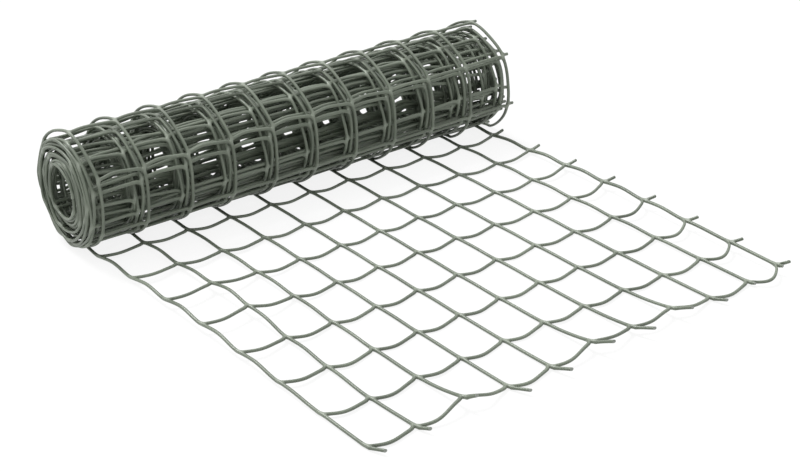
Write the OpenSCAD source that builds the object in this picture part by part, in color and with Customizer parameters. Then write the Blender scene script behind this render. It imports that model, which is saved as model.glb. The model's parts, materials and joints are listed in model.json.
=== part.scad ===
// Roll of plastic plant support mesh, partly unrolled on a level floor.
// One extruded net: long strands run along the web (+X on the floor), and
// bowed cross strands join them. The roll lies on its side with its axis
// along +Y, and the laid-out length leaves it at the bottom, toward +X.
// Millimetres. Z = 0 is the floor.

/* [Mesh] */
// Cells across the width of the web
columns = 10; // [6:1:14]
// Spacing of the long strands
pitch_across = 50; // [38:1:65]
// Spacing of the cross strands
pitch_along = 60; // [45:1:80]
// Width of a strand
strand_w = 3.3; // [2.6:0.1:4]
// Thickness of a strand
strand_t = 2.9; // [2.2:0.1:3.6]
// How far a cross strand bows between two long strands
bow = 9; // [6:0.5:13]
// Length of the web that fills each acute corner at a crossing
web_l = 5; // [3:0.5:8]

/* [Laid-out length] */
// Whole cells that lie on the floor
rows_out = 7; // [3:1:9]
// From under the roll's axis to the first cross strand on the floor
first_row = 42; // [32:1:52]
// Cut ends of the long strands past the last cross strand
tail = 24; // [14:1:32]
// Cut ends of the cross strands past the far edge strand
stub = 10; // [6:1:16]
// Width of the far edge column where it leaves the roll
edge_near = 50; // [40:0.5:53]
// Width of the far edge column at the cut end
edge_free = 39; // [30:0.5:50]

/* [Roll] */
// Length of the whole web, laid out and wound
mesh_length = 6000; // [4000:100:8000]
// Diameter of the bore down the middle of the roll
bore_d = 50; // [40:1:65]
// What each turn adds to the roll's radius
turn_pitch = 1.72; // [1.6:0.02:2.4]
// How far the innermost turns have slid toward the near end
telescope = 9; // [3:0.5:16]
// How far one turn in each bunch stands out past the others at the near end
stand_out = 5; // [2:0.5:8]
// Turns in a bunch
bunch = 4; // [2:1:6]
// How far the outermost turn has spread at the far end
flare = 16; // [4:1:22]

/* [Hidden] */
$fn = 96;

web_width = columns * pitch_across;
last_row = first_row + rows_out * pitch_along;

// A cross strand between two long strands is an arc, from its chord and sag.
// Each has the same length of plastic in it, so it is deeper where the chord
// is shorter.
bow_length = pitch_across + 8 / 3 * pow(bow, 2) / pitch_across;
function sag(chord) = sqrt(3 / 8 * chord * (bow_length - chord));
function arc_r(chord) = (pow(chord / 2, 2) + pow(sag(chord), 2)) / (2 * sag(chord));
function arc_a(chord) = 2 * atan(2 * sag(chord) / chord);
bow_a = arc_a(pitch_across);

// The roll's radius follows from the length that is wound and the turns' pitch.
bore_r = bore_d / 2;
length_wound = mesh_length - last_row - tail;
roll_r = sqrt(pow(bore_r, 2) + length_wound * turn_pitch / PI);

// The outermost turn lies on the drum as separate strands. The drum is all
// the turns under it.
drum_r = roll_r - strand_t;
turns = round((drum_r - bore_r) / turn_pitch);
turn_w = (drum_r - bore_r) / turns;

// Where the near and the far edge strand of each turn lie, from the innermost
// turn, 0, to the drum's outermost. Every turn has slid with those under it,
// and its cells are pulled out or pushed together.
function slid(k) = telescope * (turns - k) / turns;
function near_y(k) = -slid(k) - stand_out * (1 - (k % bunch) / (bunch - 1));
function far_y(k) = web_width - slid(k) + flare * pow(k / (turns - 1), 2);

// The far half of the outermost turn is spread more and more.
function ring_y(i) = i * pitch_across + flare * pow(max(0, 2 * i / columns - 1), 3);

// The far edge strand runs in toward the others as it leaves the roll.
function edge_y(x) = web_width - pitch_across + edge_near
    + (edge_free - edge_near) * x / (last_row + tail);
function strand_y(i, x) = i < columns ? i * pitch_across : edge_y(x);

// The wound strands meet the floor under the axis. The laid-out ones start
// inside them, just past that line.
overlap = 5;

// The object's box, in the roll's own frame: the axis is over X = 0, and the
// near edge strand is at Y = 0.
box_x = [-roll_r, last_row + max(tail, sag(edge_free) + strand_w / 2)];
box_y = [
    min([for (k = [0 : turns - 1]) near_y(k)]) - strand_w / 2,
    max(concat([ring_y(columns)], [for (k = [0 : turns - 1]) far_y(k)])) + strand_w / 2
];

// All the laid-out strands, seen from above. Each starts at its ring on the
// drum and is in its own place from the first cross strand on.
module long_strands() {
    for (i = [0 : columns]) {
        path = [
            [overlap, ring_y(i)],
            [first_row, strand_y(i, first_row)],
            [last_row + tail, strand_y(i, last_row + tail)]
        ];
        polygon(concat(
            [for (p = path) p - [0, strand_w / 2]],
            [for (n = [2 : -1 : 0]) path[n] + [0, strand_w / 2]]
        ));
    }
}

// One bow of a chord from a crossing at the origin toward +Y, through an
// angle.
module bow_strand(chord, angle) {
    r = arc_r(chord);
    a = arc_a(chord);
    translate([-r * cos(a), r * sin(a)])
        intersection() {
            difference() {
                circle(r = r + strand_w / 2);
                circle(r = r - strand_w / 2);
            }
            polygon([
                [0, 0],
                2 * r * [cos(a), -sin(a)],
                2 * r * [cos(a - angle / 2), -sin(a - angle / 2)],
                2 * r * [cos(a - angle), -sin(a - angle)]
            ]);
        }
}

// The web at a crossing fills the acute corners on the side to which the
// bows leave.
module crossing_web() {
    spread = web_l * sin(90 - bow_a);
    polygon([
        [-strand_w / 2, 0],
        [web_l * cos(90 - bow_a), -spread],
        [web_l + strand_w, 0],
        [web_l * cos(90 - bow_a), spread]
    ]);
}

// The cross strand at a place along the laid-out length, and its cut stub.
module cross_strand(x) {
    for (i = [0 : columns - 1]) {
        chord = strand_y(i + 1, x) - strand_y(i, x);
        translate([x, i * pitch_across])
            bow_strand(chord, 2 * arc_a(chord));
    }
    translate([x, edge_y(x)])
        bow_strand(pitch_across, 180 * stub / (PI * arc_r(pitch_across)));
    for (i = [0 : columns])
        translate([x, strand_y(i, x)])
            crossing_web();
}

module laid_out() {
    linear_extrude(strand_t) {
        long_strands();
        for (j = [0 : rows_out])
            cross_strand(first_row + j * pitch_along);
    }
}

// Section of the drum to one side of its axis, as radius and place along the
// axis. Each turn is a step at either end.
module drum_section() {
    polygon(concat(
        [for (k = [0 : turns - 1], edge = [0, 1])
            [bore_r + (k + edge) * turn_w, near_y(k) - strand_w / 2]],
        [for (k = [turns - 1 : -1 : 0], edge = [1, 0])
            [bore_r + (k + edge) * turn_w, far_y(k) + strand_w / 2]]
    ));
}

// The long strands of the outermost turn, as rings round the drum.
module ring_sections() {
    for (i = [0 : columns])
        translate([drum_r - turn_w, ring_y(i) - strand_w / 2])
            square([strand_t + turn_w, strand_w]);
}

module roll() {
    translate([0, 0, roll_r])
        rotate([90, 0, 0])
            mirror([0, 0, 1])
                rotate_extrude() {
                    drum_section();
                    ring_sections();
                }
}

module mesh_roll() {
    color([0.33, 0.38, 0.33])
        translate([-(box_x[0] + box_x[1]) / 2, -(box_y[0] + box_y[1]) / 2, 0]) {
            roll();
            laid_out();
        }
}

mesh_roll();
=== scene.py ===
# %% [markdown]
# # A roll of plant support mesh
#
# The object is one long web of extruded plastic: straight strands run along it, and bowed
# strands join them. Most of it is wound up, and the rest lies on the floor. The roll could be
# drawn turn by turn, but then its turns would not be one web. So this notebook does what the
# maker does: it models one crossing with its two strands, repeats it into a flat web, cuts the
# web's edges, and then bends the flat web along its path on the floor and round the roll.

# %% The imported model, and the room that it takes
import json
import math

import bmesh
import bpy
import numpy as np
from mathutils import Matrix, Vector


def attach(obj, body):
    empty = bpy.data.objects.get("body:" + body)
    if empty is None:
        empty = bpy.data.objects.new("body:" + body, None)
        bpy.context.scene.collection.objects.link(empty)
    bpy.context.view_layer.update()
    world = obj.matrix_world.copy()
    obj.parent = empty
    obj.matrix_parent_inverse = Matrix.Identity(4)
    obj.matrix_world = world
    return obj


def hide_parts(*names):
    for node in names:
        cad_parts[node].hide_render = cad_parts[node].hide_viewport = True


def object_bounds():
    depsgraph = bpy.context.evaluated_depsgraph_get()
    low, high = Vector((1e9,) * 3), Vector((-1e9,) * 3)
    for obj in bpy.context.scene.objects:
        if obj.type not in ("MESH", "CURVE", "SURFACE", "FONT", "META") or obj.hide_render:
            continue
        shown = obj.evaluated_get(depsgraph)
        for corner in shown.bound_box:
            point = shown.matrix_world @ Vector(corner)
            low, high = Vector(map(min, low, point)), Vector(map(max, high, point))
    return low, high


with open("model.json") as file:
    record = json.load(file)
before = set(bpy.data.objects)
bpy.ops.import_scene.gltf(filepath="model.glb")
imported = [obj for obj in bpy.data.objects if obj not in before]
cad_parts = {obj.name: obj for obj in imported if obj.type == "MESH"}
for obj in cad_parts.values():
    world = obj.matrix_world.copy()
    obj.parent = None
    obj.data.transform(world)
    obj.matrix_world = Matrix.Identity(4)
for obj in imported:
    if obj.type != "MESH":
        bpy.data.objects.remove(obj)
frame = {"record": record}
cad_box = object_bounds()
bpy.ops.object.select_all(action="DESELECT")
print("CAD box:", [list(map(float, corner)) for corner in cad_box])

# %% [markdown]
# ## Sizes
#
# The die sets the cells and strands of such a web, and the winding sets the roll. All sizes
# could be typed in here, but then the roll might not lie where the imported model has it. So its
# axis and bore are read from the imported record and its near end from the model's box, and only
# the web's own sizes are given, in metres. A place on the flat web has two numbers: u, along
# the web from the line where it leaves the floor, and v, across it from its near edge strand.
# On the floor u is above 0, and on the roll it is below.

# %% Where the roll is, and the web's sizes
bore = next(m for m in frame["record"]["mounts"] if m["name"] == "bore")
axis_at = Vector(bore["pos_m"])
bore_r = bore["dims"]["r_mm"] / 1000

columns = 10
cell_w = 0.050
cell_l = 0.060
strand_w = 0.0033
strand_t = 0.0029
# How far a bow stands off the straight line between its ends.
bow_flat = 0.0064
# On the floor: the place of the first cross strand, the cells past it, and the cut tails.
first_row = 0.041
rows_out = 7
tail = 0.024
# The cut stubs along the far edge.
stub_wound = 0.0066
stub_laid = 0.0092
web_length = 5.962
# How far the inner turns stand out past the outermost one at the near end.
telescope = 0.014

web_w = columns * cell_w
near_edge = cad_box[0][1] + strand_w / 2 + telescope
last_row = first_row + rows_out * cell_l
free_end = last_row + tail
inner_end = free_end - web_length
print("free end", free_end, "inner end", inner_end, "near edge", near_edge)

# %% [markdown]
# ## One crossing
#
# An extruded web has no knots: where two strands cross they are one lump of plastic. Two tubes
# that pass through each other would be quicker, but a hard crease would show at each crossing.
# So the crossing starts as a small block, and both strands are pulled out of it. A subdivision
# surface then rounds strands and lump together, with the soft fillets that the real one has in
# its corners.

# %% Helpers to pick faces and pull them out
def pick_faces(test):
    """Selects the faces of the object in edit mode whose centre and normal pass a test."""
    mesh = bpy.context.object.data
    bm = bmesh.from_edit_mesh(mesh)
    for face in bm.faces:
        face.select_set(bool(test(face.calc_center_median(), face.normal)))
    bm.select_flush_mode()
    bmesh.update_edit_mesh(mesh)


def pull(offset, scale=(1, 1, 1)):
    """Extrudes the picked face by an offset, and scales the new end."""
    bpy.ops.mesh.extrude_region_move(TRANSFORM_OT_translate={"value": offset})
    bpy.ops.transform.resize(value=scale)


# %% The lump, and the strand along the web
# A subdivision surface draws in from its cage, so the cage is this much wider.
cage = 1.10
half_w = strand_w / 2 * cage
half_t = strand_t / 2 * cage
# Along the strand the lump has two halves: a bow ends in the first, and the next bow leaves
# from the second. It is a little higher than the strands, which join it by short necks.
lump_back = 0.0008
lump_split = 0.0030
lump_front = 0.0072
lump_high = 1.22
neck = 0.0025
strand_steps = 5
first_l = lump_split + lump_back
second_l = lump_front - lump_split
arrive_x = (lump_split - lump_back) / 2
leave_x = (lump_front + lump_split) / 2


def start_lump():
    """The lump's first half, open where a strand and a bow come in from the cells before."""
    bpy.ops.mesh.primitive_cube_add(size=1, location=(arrive_x, 0, 0))
    cell = bpy.context.object
    cell.scale = (first_l, 2 * half_w, 2 * half_t * lump_high)
    bpy.ops.object.transform_apply(location=True, rotation=False, scale=True)
    bpy.ops.object.mode_set(mode="EDIT")
    bpy.ops.mesh.select_mode(type="FACE")
    pick_faces(lambda c, n: n.x < -0.9 or n.y < -0.9)
    bpy.ops.mesh.delete(type="ONLY_FACE")
    return cell


def pull_strand():
    """The lump's second half, then the strand: a neck down to its height, steps, a neck up."""
    reach = cell_l - first_l - second_l - 2 * neck
    pick_faces(lambda c, n: n.x > 0.9)
    pull((second_l, 0, 0))
    pull((neck, 0, 0), (1, 1, 1 / lump_high))
    for _ in range(strand_steps):
        pull((reach / strand_steps, 0, 0))
    pull((neck, 0, 0), (1, 1, lump_high))
    bpy.ops.mesh.delete(type="ONLY_FACE")


# %% The bow across the web
bow_steps = 4
# How much of the arc's length the lump takes up at either end.
bow_root = 0.0044


def pull_bow():
    """Out of the lump's second half, round an arc, and into the next strand's first half."""
    arc_r = (cell_w ** 2 / 4 + bow_flat ** 2) / (2 * bow_flat)
    turn = math.asin(cell_w / 2 / arc_r) - bow_root / arc_r
    centre = Vector((bow_flat - arc_r + (arrive_x + leave_x) / 2, cell_w / 2, 0))
    start = centre + arc_r * Vector((math.cos(turn), -math.sin(turn), 0))
    end = Vector((start.x, cell_w - start.y, 0))
    seat = Vector((arrive_x, cell_w - half_w, 0))
    pick_faces(lambda c, n: n.y > 0.9 and abs(c.x - leave_x) < second_l / 4)
    pull(start - Vector((leave_x, half_w, 0)), (2 * half_w / second_l, 1, 1 / lump_high))
    bpy.ops.transform.rotate(value=turn, orient_axis="Z", center_override=start)
    bpy.ops.mesh.spin(steps=bow_steps, angle=-2 * turn, center=centre, axis=(0, 0, 1))
    pull(seat - end)
    bpy.ops.transform.rotate(value=turn, orient_axis="Z", center_override=seat)
    widened = (first_l / (2 * half_w), 1, lump_high)
    bpy.ops.transform.resize(value=widened, center_override=seat)
    bpy.ops.mesh.delete(type="ONLY_FACE")


def model_cell():
    """One crossing at the origin, with its strand along +X and its bow to the next along +Y."""
    cell = start_lump()
    pull_strand()
    pull_bow()
    bpy.ops.object.mode_set(mode="OBJECT")
    return cell


print("lump", first_l + second_l, "m long, cell", cell_l, "by", cell_w, "m")

# %% [markdown]
# ## The web
#
# The real web leaves the die as one net. A grid of curves would give its look, but its strands
# would only pass through each other. So the cell is repeated along and across, and the copies'
# touching corners are merged, which makes one closed surface. It is rounded by a subdivision
# surface while it is flat, and then cut as the real one is: the maker slits the wide web
# lengthwise, which leaves a stub of each bow at one edge, and the buyer cuts it across, which
# leaves tails.

# %% Arrays and cuts
touching = 1e-5


def add_array(piece, count, offset):
    """Repeats a mesh and merges the corners where its copies touch."""
    array = piece.modifiers.new("repeat", "ARRAY")
    array.count = count
    array.use_relative_offset = False
    array.use_constant_offset = True
    array.constant_offset_displace = offset
    array.use_merge_vertices = True
    array.merge_threshold = touching
    bpy.ops.object.modifier_apply(modifier=array.name)


def cut(at, toward):
    """Cuts away all that lies past a plane, and closes the strands with the cut plastic."""
    bpy.ops.object.mode_set(mode="EDIT")
    bpy.ops.mesh.select_all(action="SELECT")
    bpy.ops.mesh.bisect(plane_co=at, plane_no=toward, use_fill=True, clear_outer=True)
    bpy.context.object.active_material_index = 1
    bpy.ops.object.material_slot_assign()
    bpy.ops.object.mode_set(mode="OBJECT")


# %% A flat web
def make_web(name, stub, first, last, levels, low_u, high_u):
    """A flat web from row first to row last, cut to a stretch along its length."""
    piece = model_cell()
    piece.name = name
    add_array(piece, last - first + 1, (cell_l, 0, 0))
    add_array(piece, columns + 1, (0, cell_w, 0))
    bpy.ops.object.mode_set(mode="EDIT")
    bpy.ops.mesh.select_all(action="SELECT")
    bpy.ops.mesh.fill_holes(sides=4)
    bpy.ops.mesh.normals_make_consistent(inside=False)
    bpy.ops.object.mode_set(mode="OBJECT")
    rounding = piece.modifiers.new("rounding", "SUBSURF")
    rounding.levels = rounding.render_levels = levels
    bpy.ops.object.modifier_apply(modifier=rounding.name)
    piece.data.transform(Matrix.Translation((first_row + first * cell_l, 0, 0)))
    piece.data.materials.append(web_plastic)
    piece.data.materials.append(cut_plastic)
    cut((0, web_w + stub, 0), (0, 1, 0))
    cut((high_u, 0, 0), (1, 0, 0))
    cut((low_u, 0, 0), (-1, 0, 0))
    # All of the web's own faces have four corners, and a cut's flat faces have more.
    for face in piece.data.polygons:
        face.use_smooth = len(face.vertices) == 4
    print(name, len(piece.data.polygons), "faces")
    return piece


# %% [markdown]
# ## The path of the web
#
# Seen from the end, the web is one line: flat on the floor, then round and round. A spiral
# formula would be shorter, but a real roll is slack outside and pressed flat by its own weight.
# So a table gives the line's distance from the roll's axis. The outermost turn lies on the
# floor behind the roll, stands off at the back and the top, and hugs the roll at the front. The
# turns under it lie closer the deeper they are, and sag a little to the back.

# %% The distance from the axis, turn by turn, from the floor inwards
def along(pairs, turns):
    """Reads a table of turns and millimetres at any turn."""
    return np.interp(turns, *zip(*pairs))


# A turn starts on the floor and goes up the back, over the top and down the front.
loose = (
    (0, 59.2), (0.07, 62.8), (0.14, 60), (0.21, 60.6), (0.36, 57.6), (0.43, 60.2), (0.50, 58.8),
    (0.64, 58), (0.75, 57.7), (0.86, 58.5), (0.93, 58.5), (1, 56.9), (1.25, 57.0), (1.40, 51.8),
    (1.55, 51.4), (1.75, 55.6), (1.92, 56.2), (2.05, 55),
)
tight_from, tight_r = loose[-1]
inner_r = bore_r * 1000 + strand_t * 500
# How far the tight turns sag, in millimetres: to the back, to the floor, and down at the top.
back_sag = 1.5
floor_sag = 2.2
top_drop = 2.2
steps_per_turn = 720
soften = 45


def path_table(all_turns):
    """Turns, radii in metres and lengths along the web, for a roll of so many turns."""
    turns = np.arange(0, all_turns + 0.5, 1 / steps_per_turn)
    radii = along(loose, turns)
    tight = turns > tight_from
    inward = (turns[tight] - tight_from) / (all_turns - tight_from)
    radii[tight] = tight_r + (inner_r - tight_r) * inward
    angle = 2 * math.pi * turns
    sag = back_sag * np.sin(angle[tight]) + floor_sag * np.cos(angle[tight])
    sag -= top_drop * (0.5 - 0.5 * np.cos(angle[tight])) ** 2
    radii[tight] += sag * (1 - inward)
    window = np.hanning(soften)
    radii = np.pad(radii, soften // 2, mode="edge")
    radii = np.convolve(radii, window / window.sum(), "valid") / 1000
    steps = np.hypot(np.diff(radii * np.sin(angle)), np.diff(radii * np.cos(angle)))
    return turns, radii, np.concatenate([[0], np.cumsum(steps)])


# %% The count of turns, halved in on until the path takes up just the length that is wound
few, many = 10.0, 25.0
halvings = 40
for _ in range(halvings):
    all_turns = (few + many) / 2
    path_turns, path_radii, path_length = path_table(all_turns)
    if np.interp(all_turns, path_turns, path_length) < -inner_end:
        few = all_turns
    else:
        many = all_turns
print("turns:", all_turns)

# %% [markdown]
# ## How the turns lie
#
# No one winds a roll by hand with every turn square on the last. Each turn has slid a little
# along the roll and crept a little round it, and its rows are not quite parallel to the roll.
# That is why a roll of open mesh looks so dense: its strands hardly ever line up. Noise could
# do this, but the outer turns are seen one by one and need places of their own. So tables give
# the outer turns, and slow waves take over where the turns are deep. All are in millimetres.

# %% Helpers to fade and swing
def ease(low, high, value):
    """Goes smoothly from 0 at low to 1 at high."""
    t = np.clip((value - low) / (high - low), 0, 1)
    return t * t * (3 - 2 * t)


def blend(one, other, share):
    return one + share * (other - one)


def swing(waves, turns):
    """Adds up waves, each given as its size, its rate per turn and where it starts."""
    return sum(size * np.sin(rate * turns + start) for size, rate, start in waves)


# %% Slides along the roll
# A minus slides a turn out toward the near end.
slide_near = (
    (0, 0), (0.25, -6), (0.5, -1), (1.0, 0), (1.3, -7), (1.7, -6), (2.1, -8), (2.7, -9),
    (3.7, -6), (4.7, -10),
)
slide_middle = (
    (0, 0), (0.25, -5), (0.5, -1), (1.0, 0), (1.3, -4), (1.7, -4.5), (2.1, -8), (2.7, -11.5),
    (3.7, 4), (4.7, -9),
)
# The deep turns' mean slide, the most that one stands out, and their waves.
near_deep_mean = -6
near_deep_most = -12
near_deep_waves = ((2.5, 1.5, 0.145), (6, 2.6, -1.32), (1.1, 8.7, 0), (0.8, 15.1, 2))
# The innermost turn stands out by itself.
inmost_out = -13
# Past the near end the turns lie like a cone: the further in, the further toward the far end.
# This is the slide for each millimetre below the radius.
middle_deep_mean = -7
cone = 0.65
cone_from = 58
far_deep_mean = -7
far_deep_waves = ((3.4, 1.7, 1.49), (11.5, 2.9, 0.54))
# At the far end the loose turns have spread.
widened_far = (
    (0, 0), (0.25, 4), (0.5, 9), (0.66, 11), (0.8, 13), (0.92, 16), (1.05, 15), (1.3, 11),
    (1.66, 9), (2.7, 7.5), (6, 4),
)
# The near end's face isn't square to the axis.
end_tilt = 2.2


def slide(turns, v):
    """How far a point of the wound web has slid along the roll, in metres."""
    deep = ease(4, 5, turns)
    near_deep = np.maximum(near_deep_mean + swing(near_deep_waves, turns), near_deep_most)
    inmost = ease(all_turns - 1.25, all_turns - 0.95, turns)
    near_deep = blend(near_deep, inmost_out, inmost)
    near = blend(along(slide_near, turns), near_deep, deep)
    near = near + end_tilt * np.sin(2 * math.pi * turns) * ease(1, 2, turns)
    radius = np.interp(turns, path_turns, path_radii) * 1000
    middle_deep = middle_deep_mean + cone * (cone_from - radius)
    middle = blend(along(slide_middle, turns), middle_deep, deep)
    far_deep = far_deep_mean + swing(far_deep_waves, turns)
    far = blend(middle, far_deep, deep * ease(0.7 * web_w, web_w, v))
    # The near end's own slide reaches one cell in on the loose turns, and six on the deep ones.
    inside = ease(0, (1.2 + 4.8 * ease(3, 6, turns)) * cell_w, v)
    widened = along(widened_far, turns) * (v / web_w) ** 5
    return (blend(near, far, inside) + widened) / 1000


# %% Creep and skew round the roll
creep_round = (
    (0, 0), (0.20, 0), (0.36, -1.7), (0.51, -6.8), (0.66, -6.8), (0.82, -9), (1.68, -11), (2.72, 0),
)
creep_deep_waves = ((13, 1.02, 0.44), (-1.6, 2.7, 0.49))
# Near the near end the deep turns have crept by more.
mouth_waves = ((12.3, 2.35, 0.29),)
mouth_reach = 0.25
skew_round = (
    (0, 0), (0.2, 0), (0.66, 9), (1.66, 18), (2.7, 22), (5, 6), (8, -3), (12, 5), (16, 0),
)


def creep(turns, v):
    """How far a point of the web has crept round the roll, in metres."""
    deep = ease(2.7, 3.7, turns)
    round_roll = blend(along(creep_round, turns), swing(creep_deep_waves, turns), deep)
    skew = along(skew_round, turns) * (v / web_w - 0.5)
    mouth = swing(mouth_waves, turns) * deep * (1 - ease(0, mouth_reach * web_w, v))
    return (round_roll - skew + mouth) / 1000


print("slide at the innermost turn:", float(slide(np.array([all_turns]), np.array([0.0]))[0]), "m")

# %% [markdown]
# ## How the bows lie
#
# A bow is a strand of fixed length. Where its two ends are drawn apart it gets flatter, and
# where they come together it gets deeper. The web could simply be stretched with its bows in
# it, but then their plastic would stretch too. So each bow's depth is worked out anew from how
# far apart its ends lie.

# %% The bows
bow_length = cell_w * (1 + 8 / 3 * (bow_flat / cell_w) ** 2)
# A bow never gets quite straight: this much of its length is always spare.
least_slack = 0.002
# How far a bow leans: its crown is nearer the strand that it leaves.
bow_lean = 0.0016


def bow_reach(v):
    """How far a bow stands off its row at a point across the web."""
    part = v / cell_w - np.floor(v / cell_w)
    return bow_flat * 4 * part * (1 - part)


def lean(v):
    """How far the lean moves a point of a bow along the web."""
    return bow_lean * np.sin(2 * math.pi * v / cell_w)


def bow_kept(width, turns):
    """How much of its depth a bow keeps where its ends are some width apart."""
    slack = np.clip(bow_length / width - 1, least_slack, None)
    kept = np.sqrt(slack * 3 / 8) * width / bow_flat
    # The next turn out presses a bow flat, and the front of each turn is drawn tight.
    pressed = 0.35 * ease(0.3, 0.6, turns) + 0.15 * ease(0.9, 1.6, turns)
    part = turns - np.floor(turns)
    drawn_tight = ease(0.62, 0.80, part) - ease(0.90, 1.0, part)
    return kept * (1 - pressed) * (1 - 0.75 * drawn_tight)


print("plastic in one bow:", bow_length, "m")

# %% [markdown]
# ## The laid-out web
#
# Plastic that was wound up doesn't lie quite flat or quite straight. A cloth simulation would
# let it go all over, and it would lie still only by chance as it should. So soft rises and
# pulls are placed one by one. Each has its place along and across the web, how far it reaches each
# way, and how far it moves the web along, across and up, all in millimetres.

# %% Rises, pulls and the edges' own shapes
rumples = (
    (230, 0, 160, 45, 0, 0, 5.0),
    (205, 50, 55, 38, 0, 0, 6.5),
    (140, 70, 110, 75, 0, 0, 2.6),
    (400, 250, 160, 170, 1, -2, 0),
    (500, 100, 55, 30, 0, 0, 14),
    (500, 255, 55, 40, 0, 0, 12),
    (500, 340, 55, 40, 0, 0, 11),
    (60, 450, 70, 70, 6, 0, 0),
    (50, 0, 50, 80, -2.5, 0, 0),
    (230, 430, 260, 40, 1.5, 1.5, 0),
    (230, 300, 200, 110, 0, -1.5, 0),
    (402, 50, 50, 40, 4, -3, 0),
)
# Between two rows a strand arches up, most at the two edges: how high, and how far in.
arch_all = 0.0004
arch_near = (0.0026, 0.09)
arch_far = (0.0016, 0.07)
# The far edge curls up.
far_curl = 0.0073
curl_reach = 0.040
# The rows run along in a slow wave across the web.
slip = 0.0017
slip_wave = 0.410
# At each crossing a strand steps aside: by how much, over what length, and where in its row.
jog = 0.0010
jog_over = 0.003
jog_at = 0.053
# How steeply the cut tails turn aside and up, how much of its length each strand's tail keeps,
# and how far from its strand the bend has faded.
tail_aside = 0.32
tail_up = 0.22
tail_kept = (0.8, 0.6, 0.55, 0.95, 1, 1, 1, 1, 0.7, 0.2, 0.2)
tail_fade = (0.002, 0.005)
# How steeply the stubs along the far edge stand up.
stub_up = 0.55


def hump(distance, reach):
    """A soft hump, 1 in its middle."""
    return np.exp(-(distance / reach) ** 2)


def tails(u, v):
    """How far the cut tails move along, across and up: each lies its own way."""
    strand = np.clip(np.round(v / cell_w), 0, columns)
    past = np.clip(u - last_row - lump_front, 0, None)
    past = past * (1 - ease(*tail_fade, np.abs(v - strand * cell_w)))
    kept = np.take(tail_kept, strand.astype(int)) * past
    own = 1 + 0.3 * np.sin(2.3 * strand + 1)
    return np.array([kept - past, tail_aside * own * kept, tail_up * (2 - own) * kept])


def rumpled(u, v):
    """How far the laid-out web moves along, across and up at a point."""
    moved = np.zeros((3, len(u)))
    for at_u, at_v, long, wide, *shift in rumples:
        near = hump(u * 1000 - at_u, long) * hump(v * 1000 - at_v, wide)
        moved += np.outer(np.array(shift) / 1000, near)
    moved *= ease(0.0, 0.03, u)
    moved[0] += slip * np.sin(2 * math.pi * v / slip_wave) * ease(0.03, 0.10, u)
    row = (u - first_row) / cell_l
    past_row = row - jog_at - np.round(row - jog_at)
    moved[1] += jog * (0.5 * np.tanh(past_row * cell_l / jog_over) - past_row)
    arch = arch_all + arch_near[0] * hump(v, arch_near[1])
    arch = arch + arch_far[0] * hump(web_w - v, arch_far[1])
    arch = arch * (0.5 - 0.5 * np.cos(2 * math.pi * row)) * (1 - ease(0.26, 0.42, u))
    moved[2] += arch * ease(-0.01, 0.02, u)
    moved[2] += far_curl * ease(0.02, 0.28, u) * hump(web_w - v, curl_reach)
    moved[2] += stub_up * np.clip(v - web_w, 0, None) * ease(0, 0.03, u)
    return moved + tails(u, v)


# %% The far edge column, which draws in toward the free end
edge_near = 0.050
edge_free = 0.0385
narrow_from = 0.14


def drawn_in(u, v):
    """How far the edge column of the laid-out web has drawn in, in metres."""
    narrowed = np.clip((u - narrow_from) / (last_row - narrow_from), 0, 1)
    width = edge_near + (edge_free - edge_near) * narrowed
    last = np.clip(v - (web_w - cell_w), 0, None)
    return (width / cell_w - 1) * last


print(len(rumples), "rumples, edge column", edge_near, "to", edge_free, "m wide")

# %% [markdown]
# ## Bending the web
#
# Now each point of the flat web goes to its place. A curve modifier could bend the web round a
# spiral, but it knows nothing of slides, creep or bows. So the place is worked out from the
# path's table. The web has a thickness, so the direction that is up from it is needed too: it
# is found from two places a little before and after each point.

# %% Where a point of the flat web comes to lie
floor_h = strand_t / 2 * lump_high
# A strand bends more at its rows than between them, so each turn has soft corners there. The
# turns under the outermost one are uneven too, and low in front it droops toward the far end.
corner = 0.0010
uneven = 0.0004
droop = 0.0050


def place(u, v):
    """The place of a point of the flat web along and up, and the turn that it is on."""
    wound = np.clip(-u, 0, None)
    turns = np.interp(wound, path_length, path_turns)
    crept = np.clip(wound + creep(turns, v) * ease(0, 0.15, wound), 0, None)
    turns = np.interp(crept, path_length, path_turns)
    radius = np.interp(turns, path_turns, path_radii)
    row = (u - first_row) / cell_l
    radius = radius + corner * np.cos(2 * math.pi * row) * ease(0.15, 0.3, turns)
    rough = np.sin(5.3 * turns + 3.1 * v / cell_w) + np.sin(9.7 * turns - 1.9 * v / cell_w)
    radius = radius + uneven * rough * ease(1, 2, turns)
    under = ease(0.78, 0.92, turns) - ease(0.94, 1.06, turns)
    radius = radius + droop * under * np.clip(v / web_w, 0, 1) ** 2.5
    angle = 2 * math.pi * turns
    x = axis_at.x - radius * np.sin(angle) + np.clip(u, 0, None)
    z = axis_at.z - radius * np.cos(angle)
    moved_along, _, moved_up = rumpled(u, v)
    return x + moved_along, np.maximum(z, floor_h) + moved_up, turns


# %% What the plastic's pattern needs to know
# Where the crossing's lump lies past its row, and how long and wide its painted highlight is.
knot_at = 0.0032
knot_l = 0.0055
knot_w = 0.0030
# A point this far off a strand's middle, in strand widths, is on a bow.
off_strand_from = 0.62


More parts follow.
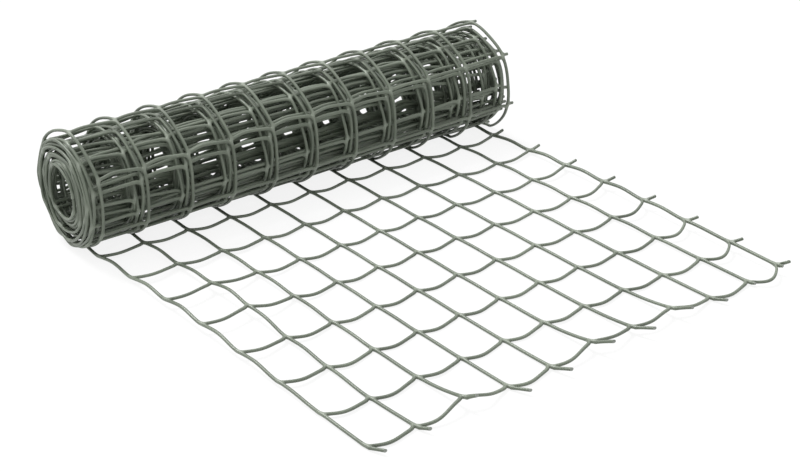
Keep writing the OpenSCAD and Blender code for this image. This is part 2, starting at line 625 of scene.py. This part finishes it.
def mark_strands(mesh, u, v, h):
    """Stores where each point is along and across its own strand, and how near a crossing."""
    row_u = first_row + np.round((u - first_row - knot_at) / cell_l) * cell_l
    past_row = u - row_u
    strand = np.round(v / cell_w)
    off_strand = v - strand * cell_w
    off_bow = past_row - bow_reach(v) - (lump_front + lump_split) / 4
    on_bow = np.abs(off_strand) > strand_w * off_strand_from
    lengthwise = np.where(on_bow, row_u + v, u + strand * cell_w)
    crosswise = np.where(on_bow, off_bow, off_strand)
    grain = np.stack([lengthwise, crosswise, h], 1).ravel()
    # How near a crossing: there the plastic is painted paler, a painted highlight on the lump.
    knot_highlight = hump(past_row - knot_at, knot_l) * hump(off_strand, knot_w)
    mesh.attributes.new("grain", "FLOAT_VECTOR", "POINT").data.foreach_set("vector", grain)
    mesh.attributes.new("knot_highlight", "FLOAT", "POINT").data.foreach_set("value", knot_highlight)


# %% Laying a flat web along its path
def cell_width(u, v):
    """How wide the cell is, laid out or wound, that a point of the flat web is in."""
    apart = 0.01
    middle = (np.floor(np.clip(v / cell_w, 0, columns - 0.5)) + 0.5) * cell_w
    turns = np.interp(-u, path_length, path_turns)
    spread = slide(turns, middle + apart) - slide(turns, middle - apart)
    spread = spread + drawn_in(u, middle + apart) - drawn_in(u, middle - apart)
    return cell_w * (1 + spread / (2 * apart))


def lay(piece):
    """Bends a flat web along its path: onto the floor, or round the roll."""
    mesh = piece.data
    co = np.empty(len(mesh.vertices) * 3, np.float64)
    mesh.vertices.foreach_get("co", co)
    u, v, h = co.reshape(-1, 3).T
    kept = bow_kept(cell_width(u, v), np.interp(-u, path_length, path_turns))
    bowed_u = u - (1 - kept) * bow_reach(v) + np.clip(kept, 0, 1) * lean(v)
    reach = 0.0015
    x, z, turns = place(bowed_u, v)
    x0, z0, _ = place(bowed_u - reach, v)
    x1, z1, _ = place(bowed_u + reach, v)
    length = np.hypot(x1 - x0, z1 - z0)
    out = np.empty((len(u), 3))
    out[:, 0] = x - (z1 - z0) / length * h
    out[:, 1] = near_edge + v + slide(turns, v) + drawn_in(u, v) + rumpled(bowed_u, v)[1]
    out[:, 2] = z + (x1 - x0) / length * h
    mesh.vertices.foreach_set("co", out.ravel())
    mesh.update()
    mark_strands(mesh, u, v, h)
    print(piece.name, "lies from", out.min(0).round(4).tolist(), "to", out.max(0).round(4).tolist())


# %% [markdown]
# ## The plastic
#
# Extruded polyethylene is dark green grey and only softly glossy, and the die leaves fine lines
# along each strand. A pattern on the object's own coordinates would run straight through the
# roll, and an image would need an unwrapped net. So the pattern reads the place along and
# across the strand that was stored while the web was flat, and it follows each strand round the
# roll. At the crossings the colour is painted paler, as a painted highlight on the lumps.

# %% Helpers for a ramp and for streaks
def ramp(tree, source, low, high, *stops):
    """A colour ramp from one place to another, with one colour or grey for each end."""
    made = tree.nodes.new("ShaderNodeValToRGB")
    made.color_ramp.elements[0].position = low
    made.color_ramp.elements[1].position = high
    for element, colour in zip(made.color_ramp.elements, stops):
        element.color = (*colour, 1) if len(colour) == 3 else (*colour * 3, 1)
    tree.links.new(source, made.inputs[0])
    return made.outputs[0]


def stored(tree, name):
    """Reads what was stored on the points of the web."""
    made = tree.nodes.new("ShaderNodeAttribute")
    made.attribute_name = name
    return made


def streaks(tree, lengthwise, crosswise, detail):
    """Noise drawn out along the strands: the scales are in waves per metre."""
    mapping = tree.nodes.new("ShaderNodeMapping")
    mapping.inputs["Scale"].default_value = (lengthwise, crosswise, crosswise)
    tree.links.new(stored(tree, "grain").outputs["Vector"], mapping.inputs["Vector"])
    waves = tree.nodes.new("ShaderNodeTexNoise")
    waves.inputs["Scale"].default_value = 1
    waves.inputs["Detail"].default_value = detail
    tree.links.new(mapping.outputs[0], waves.inputs["Vector"])
    return waves.outputs[0]


# %% The web's plastic, and its cut ends
colour_streaks = (14, 90, 2)
gloss_streaks = (25, 400, 1)
die_lines = (15, 700, 1)
line_strength = 0.08
line_depth = 0.0002


def plastic(name, dark, pale, knot_highlight_colour, rough_low, rough_high):
    material = bpy.data.materials.new(name)
    material.use_nodes = True
    tree = material.node_tree
    shader = tree.nodes["Principled BSDF"]
    body = ramp(tree, streaks(tree, *colour_streaks), 0.32, 0.68, dark, pale)
    # Toward the crossings the colour turns paler: a painted highlight on the lumps.
    fade = ramp(tree, stored(tree, "knot_highlight").outputs["Fac"], 0.25, 1.0, (0,), (0.6,))
    mix = tree.nodes.new("ShaderNodeMix")
    mix.data_type = "RGBA"
    mix.inputs["B"].default_value = (*knot_highlight_colour, 1)
    tree.links.new(fade, mix.inputs["Factor"])
    tree.links.new(body, mix.inputs["A"])
    tree.links.new(mix.outputs["Result"], shader.inputs["Base Color"])
    rough = ramp(tree, streaks(tree, *gloss_streaks), 0.3, 0.7, (rough_low,), (rough_high,))
    tree.links.new(rough, shader.inputs["Roughness"])
    bump = tree.nodes.new("ShaderNodeBump")
    bump.inputs["Strength"].default_value = line_strength
    bump.inputs["Distance"].default_value = line_depth
    tree.links.new(streaks(tree, *die_lines), bump.inputs["Height"])
    tree.links.new(bump.outputs[0], shader.inputs["Normal"])
    print(name, "has", len(tree.nodes), "nodes")
    return material


# Each plastic's third colour is the painted highlight at the crossings.
web_plastic = plastic("web_plastic", (0.135, 0.160, 0.121), (0.208, 0.242, 0.186),
                      (0.36, 0.40, 0.33), 0.32, 0.44)
cut_plastic = plastic("cut_plastic", (0.26, 0.28, 0.25), (0.42, 0.45, 0.41),
                      (0.34, 0.37, 0.33), 0.55, 0.75)

# %% [markdown]
# ## The pieces
#
# The web is one piece, but one mesh of it all would be too heavy to keep. Fewer sides all over
# would show. So it is made in five stretches that meet at their cut faces: the laid-out web and
# the outermost turn are rounded twice, and the turns under them, which are seen through the
# gaps, once.

# %% Five stretches of the web
seams = (0.012, -0.468, -2.448, -4.548)
laid_out = make_web("laid_out_web", stub_laid, -1, rows_out, 2, seams[0], free_end)
outer = make_web("outer_turn", stub_wound, -9, 0, 2, seams[1], seams[0])
upper = make_web("upper_turns", stub_wound, -42, -8, 1, seams[2], seams[1])
lower = make_web("lower_turns", stub_wound, -77, -40, 1, seams[3], seams[2])
inner = make_web("inner_turns", stub_wound, -94, -75, 1, inner_end, seams[3])
for piece in (laid_out, outer, upper, lower, inner):
    lay(piece)
    piece.select_set(False)
    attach(piece, "root")
    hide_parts("mesh_roll")

# %% [markdown]
# ## The white room
#
# The roll lies in a white studio. Strong lamps would make the floor white, but the plastic
# would be washed out too. So the white is only in what the camera and the plastic's gloss see,
# and the light that falls on the plastic stays at a plain level. The floor keeps the shadow.

# %% The floor
def seen_rays(tree):
    """1 for a ray from the camera, a reflection or a refraction, and 0 for diffuse light."""
    rays = tree.nodes.new("ShaderNodeLightPath")
    total = rays.outputs["Is Camera Ray"]
    for kind in ("Is Glossy Ray", "Is Transmission Ray"):
        both = tree.nodes.new("ShaderNodeMath")
        both.operation = "MAXIMUM"
        tree.links.new(total, both.inputs[0])
        tree.links.new(rays.outputs[kind], both.inputs[1])
        total = both.outputs[0]
    return total


def grey_paint(tree, grey):
    made = tree.nodes.new("ShaderNodeBsdfDiffuse")
    made.inputs["Color"].default_value = (grey, grey, grey, 1)
    return made.outputs[0]


# What is seen of the floor is mostly its glow, and the rest is light, which a shadow takes away.
lit_grey = 0.8
shadow_grey = 0.16
floor_glow = 0.86
bpy.ops.mesh.primitive_plane_add(size=20, location=(0, 0, 0))
floor = bpy.context.object
floor.name = "floor"
floor_paint = bpy.data.materials.new("floor_paint")
floor_paint.use_nodes = True
tree = floor_paint.node_tree
tree.nodes.clear()
glow = tree.nodes.new("ShaderNodeEmission")
glow.inputs["Strength"].default_value = floor_glow
white = tree.nodes.new("ShaderNodeAddShader")
tree.links.new(grey_paint(tree, shadow_grey), white.inputs[0])
tree.links.new(glow.outputs[0], white.inputs[1])
seen = tree.nodes.new("ShaderNodeMixShader")
tree.links.new(seen_rays(tree), seen.inputs[0])
tree.links.new(grey_paint(tree, lit_grey), seen.inputs[1])
tree.links.new(white.outputs[0], seen.inputs[2])
output = tree.nodes.new("ShaderNodeOutputMaterial")
tree.links.new(seen.outputs[0], output.inputs[0])
floor.data.materials.append(floor_paint)

# %% The room's own light
fill = 0.46
world = bpy.data.worlds.new("world")
bpy.context.scene.world = world
world.use_nodes = True
tree = world.node_tree
sky = tree.nodes["Background"]
sky.inputs["Color"].default_value = (1, 1, 1, 1)
strength = tree.nodes.new("ShaderNodeMapRange")
strength.inputs["To Min"].default_value = fill
strength.inputs["To Max"].default_value = 1
tree.links.new(seen_rays(tree), strength.inputs["Value"])
tree.links.new(strength.outputs[0], sky.inputs["Strength"])
print("floor glow", floor_glow, "and fill", fill)

# %% [markdown]
# ## Lamps and camera
#
# The rings are lit along their tops and the lower front of the roll lies in shade. One small
# lamp would do that with hard shadows inside the net. So a broad lamp stands above and behind
# the roll, and a very wide one overhead softens it. The camera looks down over the free end.

# %% The lamps
def add_lamp(power, spread, light_from):
    """A distant lamp, with its spread in degrees and the direction that its light comes from."""
    bpy.ops.object.light_add(type="SUN", location=(0, 0, 2))
    lamp = bpy.context.object
    lamp.data.energy = power
    lamp.data.angle = math.radians(spread)
    lamp.rotation_euler = Vector(light_from).to_track_quat("Z", "Y").to_euler()
    print("lamp", power, "from", light_from)


add_lamp(1.7, 16, (-0.80, -0.10, 1.1))
add_lamp(1.1, 90, (-0.35, 0, 1))

# %% The camera
azimuth = math.radians(51.48)
elevation = math.radians(26.03)
distance = 1.632
target = Vector((axis_at.x + 0.2292, -0.0299, 0.030))
back = Vector((math.sin(azimuth) * math.cos(elevation),
               -math.cos(azimuth) * math.cos(elevation), math.sin(elevation)))
bpy.ops.object.camera_add(location=target + distance * back,
                          rotation=(math.pi / 2 - elevation, 0, azimuth))
camera = bpy.context.object
camera.data.lens = 77.07
camera.data.sensor_width = 36
bpy.context.scene.camera = camera
bpy.context.scene.view_settings.view_transform = "Standard"
print("camera at", [round(number, 3) for number in camera.location])
